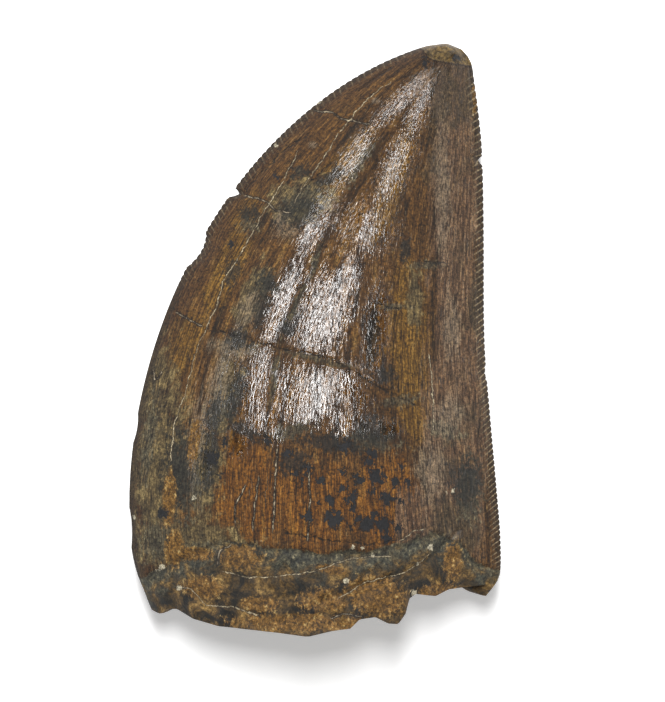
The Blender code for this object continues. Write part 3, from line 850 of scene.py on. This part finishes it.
# %% [markdown]
# The mesh carries its fields as vectors, three numbers in each. One attribute per field would do as well,
# but nine are easier to carry than twenty-seven. The material reads each vector once and splits it. It
# also takes plain places in space, in millimetres, for patterns that don't follow the crown's growth.

# %% Read the fields in the material
field = {}
for group, names in FIELD_GROUPS.items():
    source = add(tree, "Attribute", {}, attribute_name=group)
    split = add(tree, "SeparateXYZ", {0: source.outputs["Vector"]})
    field |= {name: split.outputs[i] for i, name in enumerate(names)}
    if group == "crown":
        along_crown = source.outputs["Vector"]
metres = add(tree, "TexCoord", {})
enlarged = add(tree, "VectorMath", {0: metres.outputs["Object"], "Scale": 1 / MM}, operation="SCALE")
in_mm = enlarged.outputs[0]
print("fields:", len(field))

# %% [markdown]
# Every pattern is noise with a size in millimetres. Fibres and streaks use the crown's own coordinates,
# long along the tooth and narrow across it, so they gather towards the tip as grown enamel does. Clouds,
# mottling and grit use plain places in space. Real enamel fibres are finer than a pixel here: 0.2 mm is
# the finest pitch that shows.

# %% Noise, with its size across and along the crown in mm, detail, roughness and distortion
NOISES = {
    "fibre": (along_crown, 0.42, 5.0, 4, 0.7, 0.25),
    "thread": (along_crown, 0.2, 1.6, 3, 0.7, 0.4),
    "streak": (along_crown, 1.6, 11.0, 5, 0.65, 0.5),
    "hair": (along_crown, 1.5, 8.0, 2, 0.5, 0.6),
    "spark": (along_crown, 0.26, 0.62, 0, 0.5, 0.7),
    "cloud": (in_mm, 5.5, 8.0, 3, 0.6, 0.4),
    "patch": (in_mm, 2.6, 2.6, 7, 0.66, 0.8),
    "mottle": (in_mm, 1.3, 1.8, 7, 0.72, 0.3),
    "speck": (in_mm, 0.5, 0.7, 5, 0.75, 0.2),
    "grit": (in_mm, 0.3, 0.3, 4, 0.8, 0.0),
    "wander": (in_mm, 1.1, 1.1, 4, 0.6, 0.0),
}
noises = {}
for name, (place, across, along, detail, roughness, distortion) in NOISES.items():
    per_mm = (1 / across, 1 / along, 1 / across)
    scaled = add(tree, "VectorMath", {0: place, 1: per_mm}, operation="MULTIPLY")
    texture = add(tree, "TexNoise", {
        "Vector": scaled.outputs[0], "Scale": 1.0,
        "Detail": detail, "Roughness": roughness, "Distortion": distortion,
    })
    noises[name] = texture.outputs["Fac"]
print("noise patterns:", len(noises))

# %% [markdown]
# A mask is a field whose rim is shaken by noise and then cut between two levels. The same three numbers
# per mask, how much noise, where it starts and where it is full, make a soft stain or a hard-edged spot.

# %% Masks: field, noise, how much of it, where the mask starts and where it is full
MASKS = {
    "orange": ("orange", "mottle", 2.2, -0.1, 0.45),
    "rust": ("rust", "mottle", 1.6, -0.1, 0.35),
    "grime": ("grime", "speck", 2.6, 0.1, 0.6),
    "olive": ("olive", "mottle", 2.6, 0.0, 0.45),
    "facet": ("facet", "streak", 2.6, -0.1, 0.4),
    "mottle": ("mottle", "speck", 3.4, 0.1, 0.5),
    "tan": ("tan", "speck", 2.2, -0.1, 0.3),
    "painted_sheen": ("painted_sheen", "thread", 3.2, 0.1, 0.6),
    "glitter": ("glitter", "thread", 3.4, -0.2, 0.25),
    "band": ("band", "speck", 1.0, -0.15, 0.15),
    "below_ledge": ("band", "patch", 8.0, 3.2, 0.6),
    "spots": ("spots", "speck", 3.6, -0.04, 0.12),
    "dull": ("dull", "speck", 2.4, -0.05, 0.3),
    "tarnish": ("facet", "cloud", 9.0, 0.0, 1.6),
    "flecks": ("flecks", "speck", 1.4, -0.02, 0.06),
    "worn": ("worn", "speck", 0.7, -0.04, 0.05),
    "worn_rim": ("worn", "speck", 0.7, -0.35, -0.1),
    "core": ("inward", "wander", 0.12, 0.36, 0.42),
    "broken": ("inward", "wander", 0.02, 0.005, 0.02),
}
mask = {}
for name, (source, wobble, amount, start, full) in MASKS.items():
    shaken = add(tree, "Math", {0: noises[wobble], 1: amount, 2: field[source]}, operation="MULTIPLY_ADD")
    cut = add(tree, "MapRange", {
        "Value": shaken.outputs[0], "From Min": start + amount / 2, "From Max": full + amount / 2,
    }, interpolation_type="SMOOTHSTEP")
    mask[name] = cut.outputs["Result"]
print("masks:", len(mask))

# %% [markdown]
# A crack is drawn where its signed distance is near zero. The noise that is added makes it wander, and a
# second noise breaks it, because the pale sediment fills only parts of a real crack.

# %% Cracks: field, half-width in mm, wander in mm, and how much of the line is missing
LINES = {
    "pale_long": ("pale_long", 0.032, 0.8, 0.49),
    "pale_cross": ("pale_cross", 0.035, 0.6, 0.53),
    "dark": ("dark", 0.07, 1.2, 0.48),
    "pale_long_shade": ("pale_long", 0.1, 0.7, 0.42),
    "pale_cross_shade": ("pale_cross", 0.12, 0.6, 0.25),
}
WANDER_FINE = 0.25
LINE_ENDS, LINE_FULL = 2.0, 0.6
GAP_EDGE = (-0.1, 0.08)
for name, (source, half_width, wander, missing) in LINES.items():
    shaken = add(tree, "Math", {0: noises["wander"], 1: wander, 2: field[source]}, operation="MULTIPLY_ADD")
    shaken = add(tree, "Math", {
        0: noises["speck"], 1: WANDER_FINE, 2: shaken.outputs[0],
    }, operation="MULTIPLY_ADD")
    half = (wander + WANDER_FINE) / 2
    centred = add(tree, "Math", {0: shaken.outputs[0], 1: half}, operation="SUBTRACT")
    width = add(tree, "Math", {0: centred.outputs[0]}, operation="ABSOLUTE")
    line = add(tree, "MapRange", {
        "Value": width.outputs[0], "From Min": half_width * LINE_ENDS, "From Max": half_width * LINE_FULL,
    }, interpolation_type="SMOOTHSTEP")
    filled = add(tree, "MapRange", {
        "Value": noises["speck"], "From Min": missing + GAP_EDGE[0], "From Max": missing + GAP_EDGE[1],
    })
    shown = add(tree, "Math", {0: line.outputs[0], 1: filled.outputs[0]}, operation="MULTIPLY")
    ended = add(tree, "Math", {0: shown.outputs[0], 1: field[source + "_weight"]}, operation="MULTIPLY")
    mask[name] = ended.outputs[0]
print("lines:", len(LINES), "from", len(LINE_GROUPS), "groups of paths")

# %% [markdown]
# Hairline cracks run up the crown by the dozen. Drawing each would be slow, and noise has them for free:
# the level lines of a stretched noise are long, thin and never cross, as the real ones are. The slots
# between denticles come from the count that each vertex holds, whose fraction starts again at every
# denticle. Two strips follow the edges: a worn rim, and a darker band inside the mesial edge.

# %% Hairlines, slots, edge strips and fibres: the measure, where each starts and where it is full
HAIR_LEVELS = 14.0
DENTICLE_MIDDLE = 0.5
RIM_SHAKE = 1.0
levels = add(tree, "Math", {0: noises["hair"], 1: HAIR_LEVELS}, operation="MULTIPLY")
folded = add(tree, "Math", {0: levels.outputs[0], 1: 1.0}, operation="PINGPONG")
in_pitch = add(tree, "Math", {0: field["count"]}, operation="FRACT")
off_middle = add(tree, "Math", {0: in_pitch.outputs[0], 1: DENTICLE_MIDDLE}, operation="SUBTRACT")
from_middle = add(tree, "Math", {0: off_middle.outputs[0]}, operation="ABSOLUTE")
rim_shaken = add(tree, "Math", {
    0: noises["speck"], 1: RIM_SHAKE, 2: field["edge"],
}, operation="MULTIPLY_ADD")
STEPS = {
    "hair_line": (folded.outputs[0], 0.2, 0.03, "SMOOTHSTEP"),
    "hair_here": (noises["wander"], 0.44, 0.6, "LINEAR"),
    "between_denticles": (from_middle.outputs[0], 0.34, 0.45, "LINEAR"),
    "near_edge": (field["edge"], 1.3, 0.65, "LINEAR"),
    "sediment": (noises["speck"], 0.38, 0.52, "LINEAR"),
    "rim": (rim_shaken.outputs[0], 1.5, 0.8, "LINEAR"),
    "mesial": (field["mesial"], 3.6, 0.8, "SMOOTHSTEP"),
    "fibre_shade": (noises["thread"], 0.53, 0.36, "LINEAR"),
    "fibre_light": (noises["thread"], 0.56, 0.72, "LINEAR"),
}
for name, (measure, start, full, kind) in STEPS.items():
    step = add(tree, "MapRange", {
        "Value": measure, "From Min": start, "From Max": full,
    }, interpolation_type=kind)
    mask[name] = step.outputs["Result"]
mask["serrated"] = field["serrated"]
BOTH = {
    "hair": ("hair_line", "hair_here"),
    "slot_side": ("near_edge", "serrated"),
    "slot": ("between_denticles", "slot_side"),
    "slot_fill": ("slot", "sediment"),
    "ledge_dirt": ("band", "below_ledge"),
}
for name, (first, second) in BOTH.items():
    mask[name] = add(tree, "Math", {0: mask[first], 1: mask[second]}, operation="MULTIPLY").outputs[0]
print("masks with the edges' own:", len(mask))

# %% [markdown]
# Colour goes on in layers, from the enamel's own brown up to the last fleck of sediment, each layer
# through its mask. A ramp over streak noise gives the enamel its run from dark to rust to ochre, and
# further ramps give the golden and rusty patches, the olive tarnish and the dentine theirs. Painting it as
# a picture would be another way, but layers of noise stay sharp from any distance.

# %% Ramps of colour: the noise that each follows, and its stops
RAMPS = {
    "enamel": ("streak", [(0.35, "#1a1108"), (0.45, "#3f280f"), (0.56, "#5a3c18"), (0.7, "#77592c")]),
    "gold": ("fibre", [(0.35, "#271907"), (0.45, "#533810"), (0.56, "#6e4f1a"), (0.69, "#8e6c33")]),
    "rust": ("fibre", [(0.35, "#2a1706"), (0.45, "#56330a"), (0.56, "#6d430f"), (0.69, "#896125")]),
    # The facet's ramp is paler and greyer than the enamel's: partly its own tone, partly painted sheen of
    # its satin face
    "facet": ("fibre", [(0.35, "#2a1d14"), (0.45, "#523b2a"), (0.56, "#6a523c"), (0.7, "#857059")]),
    "olive": ("mottle", [(0.36, "#211f17"), (0.45, "#433a27"), (0.55, "#605133"), (0.68, "#8a784e")]),
    "dentine": ("patch", [(0.4, "#100e09"), (0.47, "#302513"), (0.55, "#523d1c"), (0.66, "#886c3b")]),
    "tan": ("speck", [(0.35, "#281b0b"), (0.46, "#563c15"), (0.57, "#725122"), (0.7, "#a58f5c")]),
    "worn": ("speck", [(0.32, "#221a0c"), (0.46, "#4d3b1b"), (0.58, "#6b562e"), (0.74, "#9c8c60")]),
    "ledge": ("speck", [(0.34, "#191a16"), (0.45, "#30312a"), (0.56, "#4c4939"), (0.7, "#8d8264")]),
    "core": ("mottle", [(0.3, "#55503f"), (0.45, "#7d735b"), (0.58, "#988b6d"), (0.72, "#b3a687")]),
}
ramp = {
    name: add(tree, "ValToRGB", {"Fac": noises[source]}, ramp=stops).outputs["Color"]
    for name, (source, stops) in RAMPS.items()
}
print("ramps:", len(RAMPS))

# %% [markdown]
# A layer is a paint, the mask that it goes through and how strongly it covers. The order is roughly that of
# the real tooth: growth first, then stain, then wear, and loose dirt last. The pale grey patches are
# painted sheen, and the facet's paler tone is partly painted sheen. A fine grain over everything stands for
# the pits and fibre ends that are too small to model.

# %% Layers of colour: name, ramp or plain colour, mask, how strongly it covers
LAYERS = [
    ("golden enamel", "gold", "orange", 1.0),
    ("rusty enamel", "rust", "rust", 1.0),
    # The facet's paler tone is its own colour plus painted sheen
    ("facet", "facet", "facet", 0.85),
    ("mesial strip", "#3b2514", "mesial", 0.7),
    ("tarnish", "#332d1e", "tarnish", 0.7),
    ("olive", "olive", "olive", 1.0),
    ("grime", "ledge", "grime", 0.75),
    # Painted sheen: pale grey over the brown, in place of a soft reflection
    ("painted grey sheen", "#7b6d5a", "painted_sheen", 0.5),
    ("fibre shade", "#22160b", "fibre_shade", 0.85),
    ("fibre light", "#8f7043", "fibre_light", 0.5),
    ("hairlines", "#1c130b", "hair", 0.8),
    ("tan", "tan", "tan", 0.8),
    ("manganese mottle", "#191a18", "mottle", 0.8),
    ("worn edge", "#2a2016", "rim", 0.85),
    ("dentine", "dentine", "band", 1.0),
    ("ledge dirt", "ledge", "ledge_dirt", 0.85),
    ("tan on dentine", "tan", "tan", 1.0),
    ("slots", "#1f1811", "slot", 0.5),
    ("filled slots", "#8e7d60", "slot_fill", 0.8),
    ("dark cracks", "#1a140e", "dark", 1.0),
    ("crack shade", "#2e2116", "pale_long_shade", 0.6),
    ("cross shade", "#1c130c", "pale_cross_shade", 1.0),
    ("pale cracks", "#b0a283", "pale_long", 1.0),
    ("pale cross", "#a2947a", "pale_cross", 1.0),
    ("worn rim", "#2a1d11", "worn_rim", 1.0),
    ("worn tip", "worn", "worn", 1.0),
    ("manganese spots", "#141416", "spots", 1.0),
    ("broken dentine", "dentine", "broken", 1.0),
    ("sediment core", "core", "core", 1.0),
    ("flecks", "#aea58d", "flecks", 0.85),
]
colour = ramp["enamel"]
for name, paint, where, strength in LAYERS:
    above = linear(paint) if paint.startswith("#") else ramp[paint]
    through = add(tree, "Math", {0: mask[where], 1: strength}, operation="MULTIPLY").outputs[0]
    layer = add(tree, "Mix", {"Factor": through, 6: colour, 7: above}, data_type="RGBA", label=name)
    colour = layer.outputs[2]
GRAIN_SPAN, GRAIN_DARK, GRAIN_LIGHT = (0.34, 0.66), 0.1, 1.86
grain = add(tree, "MapRange", {
    "Value": noises["grit"], "From Min": GRAIN_SPAN[0], "From Max": GRAIN_SPAN[1],
    "To Min": GRAIN_DARK, "To Max": GRAIN_LIGHT,
})
grained = add(tree, "VectorMath", {0: colour, "Scale": grain.outputs["Result"]}, operation="SCALE")
tree.links.new(grained.outputs[0], shader.inputs["Base Color"])
print("colour layers:", len(LAYERS))

# %% [markdown]
# Gloss follows the same masks. Weathered enamel is dull, near 0.9, and only its polished patches, between
# 0.1 and 0.26, mirror the lamp. They could cover the whole crown, but then a veil of light would lie over
# the brown. The facet and the worn tip are satin, and spots, dentine and sediment are matt. The IOR is that
# of the resin coat.

# %% Layers of roughness: mask, and the roughness in it
WEATHERED = 0.9
POLISHED_SPAN, POLISHED_LOW, POLISHED_HIGH = (0.42, 0.62), 0.1, 0.26
RESIN_IOR = 1.5
polished = add(tree, "MapRange", {
    "Value": noises["mottle"], "From Min": POLISHED_SPAN[0], "From Max": POLISHED_SPAN[1],
    "To Min": POLISHED_LOW, "To Max": POLISHED_HIGH,
})
ROUGHNESSES = [
    ("glitter", polished.outputs["Result"]), ("dull", WEATHERED), ("facet", 0.55), ("band", 0.72),
    ("spots", 0.8), ("worn", 0.6), ("broken", 0.85),
]
roughness = WEATHERED
for where, value in ROUGHNESSES:
    layer = add(tree, "Mix", {"Factor": mask[where], 2: roughness, 3: value}, data_type="FLOAT")
    roughness = layer.outputs[0]
tree.links.new(roughness, shader.inputs["Roughness"])
shader.inputs["IOR"].default_value = RESIN_IOR
print("roughness layers:", len(ROUGHNESSES))

# %% [markdown]
# Relief finer than the mesh is a bump, with heights in millimetres. Wrinkles a few hundredths of a
# millimetre high break the lamp's reflection into sparks. Dentine has coarser pits, and cracks and spots
# are sunk a little. Real displacement would need far more triangles and look no different from here.

# %% Layers of relief, in mm: the pattern, its height and the mask it shows in
RELIEFS = [
    ("spark", 0.02, None), ("spark", 0.024, "glitter"), ("fibre", 0.014, None), ("mottle", 0.03, "glitter"),
    ("wander", 0.03, None), ("speck", 0.14, "band"), ("grit", 0.05, "band"), ("grit", 0.06, "worn"),
    ("speck", 0.03, "olive"),
]
SUNK = [("pale_long", 0.03), ("dark", 0.05), ("hair", 0.03), ("spots", 0.03)]
height = 0.0
for pattern, amount, where in RELIEFS:
    here = mask[where] if where else 1.0
    shown = add(tree, "Math", {0: here, 1: amount}, operation="MULTIPLY").outputs[0]
    raised = add(tree, "Math", {0: noises[pattern], 1: shown, 2: height}, operation="MULTIPLY_ADD")
    height = raised.outputs[0]
for name, depth in SUNK:
    height = add(tree, "Math", {0: mask[name], 1: -depth, 2: height}, operation="MULTIPLY_ADD").outputs[0]
bump = add(tree, "Bump", {"Height": height, "Distance": MM, "Strength": 1.0})
tree.links.new(bump.outputs["Normal"], shader.inputs["Normal"])
print("material:", len(tree.nodes), "nodes")

# %% [markdown]
# The table is a sheet of white acrylic. Its matt face scatters light evenly, so the eye sees plain white
# with no mirror image of the tooth, and it glows a little, as a light table does, to stay white beside the
# tooth. It could be a sheet bent up behind, but the camera sees only its flat part.

# %% Table
FLOOR_SIZE = 3.0
TABLE_GLOW = 0.3
MATT = 0.9
half = FLOOR_SIZE / 2
corners = [(-half, -half, 0), (half, -half, 0), (half, half, 0), (-half, half, 0)]
floor_mesh = bpy.data.meshes.new("table")
floor_mesh.from_pydata(corners, [], [(0, 1, 2, 3)])
floor = bpy.data.objects.new("table", floor_mesh)
bpy.context.scene.collection.objects.link(floor)
white = bpy.data.materials.new("white_acrylic_sheet")
white.use_nodes = True
sheet = white.node_tree.nodes["Principled BSDF"]
sheet.inputs["Base Color"].default_value = linear("#fafafa")
sheet.inputs["Roughness"].default_value = MATT
sheet.inputs["Specular IOR Level"].default_value = 0.0
sheet.inputs["Emission Color"].default_value = linear("#ffffff")
sheet.inputs["Emission Strength"].default_value = TABLE_GLOW
floor_mesh.materials.append(white)
print("table:", FLOOR_SIZE, "m square")

# %% [markdown]
# One slim softbox hangs beyond the tip, 22 degrees off the vertical. A surface that leans half as far
# towards it mirrors it, and the crown's ridges lean about that much: that draws the two long gleams and
# the glittering patch below them. The box is longer along the tooth than across, so the shadow is soft
# below the broken end. Many lamps would multiply the gleams, so a pale world gives all other light.

# %% Lamp and world
LAMP_DISTANCE, LAMP_WIDTH, LAMP_LENGTH, LAMP_POWER = 0.8, 0.15, 0.42, 8.8
LAMP_SIDEWAYS, LAMP_TIPWARDS = math.radians(-1), math.radians(22)
WORLD_STRENGTH = 0.26

light = bpy.data.lights.new("softbox", "AREA")
light.shape, light.size, light.size_y, light.energy = "RECTANGLE", LAMP_WIDTH, LAMP_LENGTH, LAMP_POWER
lamp = bpy.data.objects.new("softbox", light)
towards = Vector((math.tan(LAMP_SIDEWAYS), math.tan(LAMP_TIPWARDS), 1)).normalized()
lamp.location = towards * LAMP_DISTANCE
lamp.rotation_euler = towards.to_track_quat("Z", "Y").to_euler()
bpy.context.scene.collection.objects.link(lamp)

world = bpy.data.worlds.new("studio")
bpy.context.scene.world = world
world.use_nodes = True
world.node_tree.nodes["Background"].inputs["Color"].default_value = linear("#ffffff")
world.node_tree.nodes["Background"].inputs["Strength"].default_value = WORLD_STRENGTH
bpy.context.scene.view_settings.view_transform = "Standard"
print("lamp:", [round(place, 2) for place in lamp.location], "m, world:", WORLD_STRENGTH)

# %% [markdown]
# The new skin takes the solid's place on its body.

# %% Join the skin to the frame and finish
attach(tooth, "root")
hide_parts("tooth")
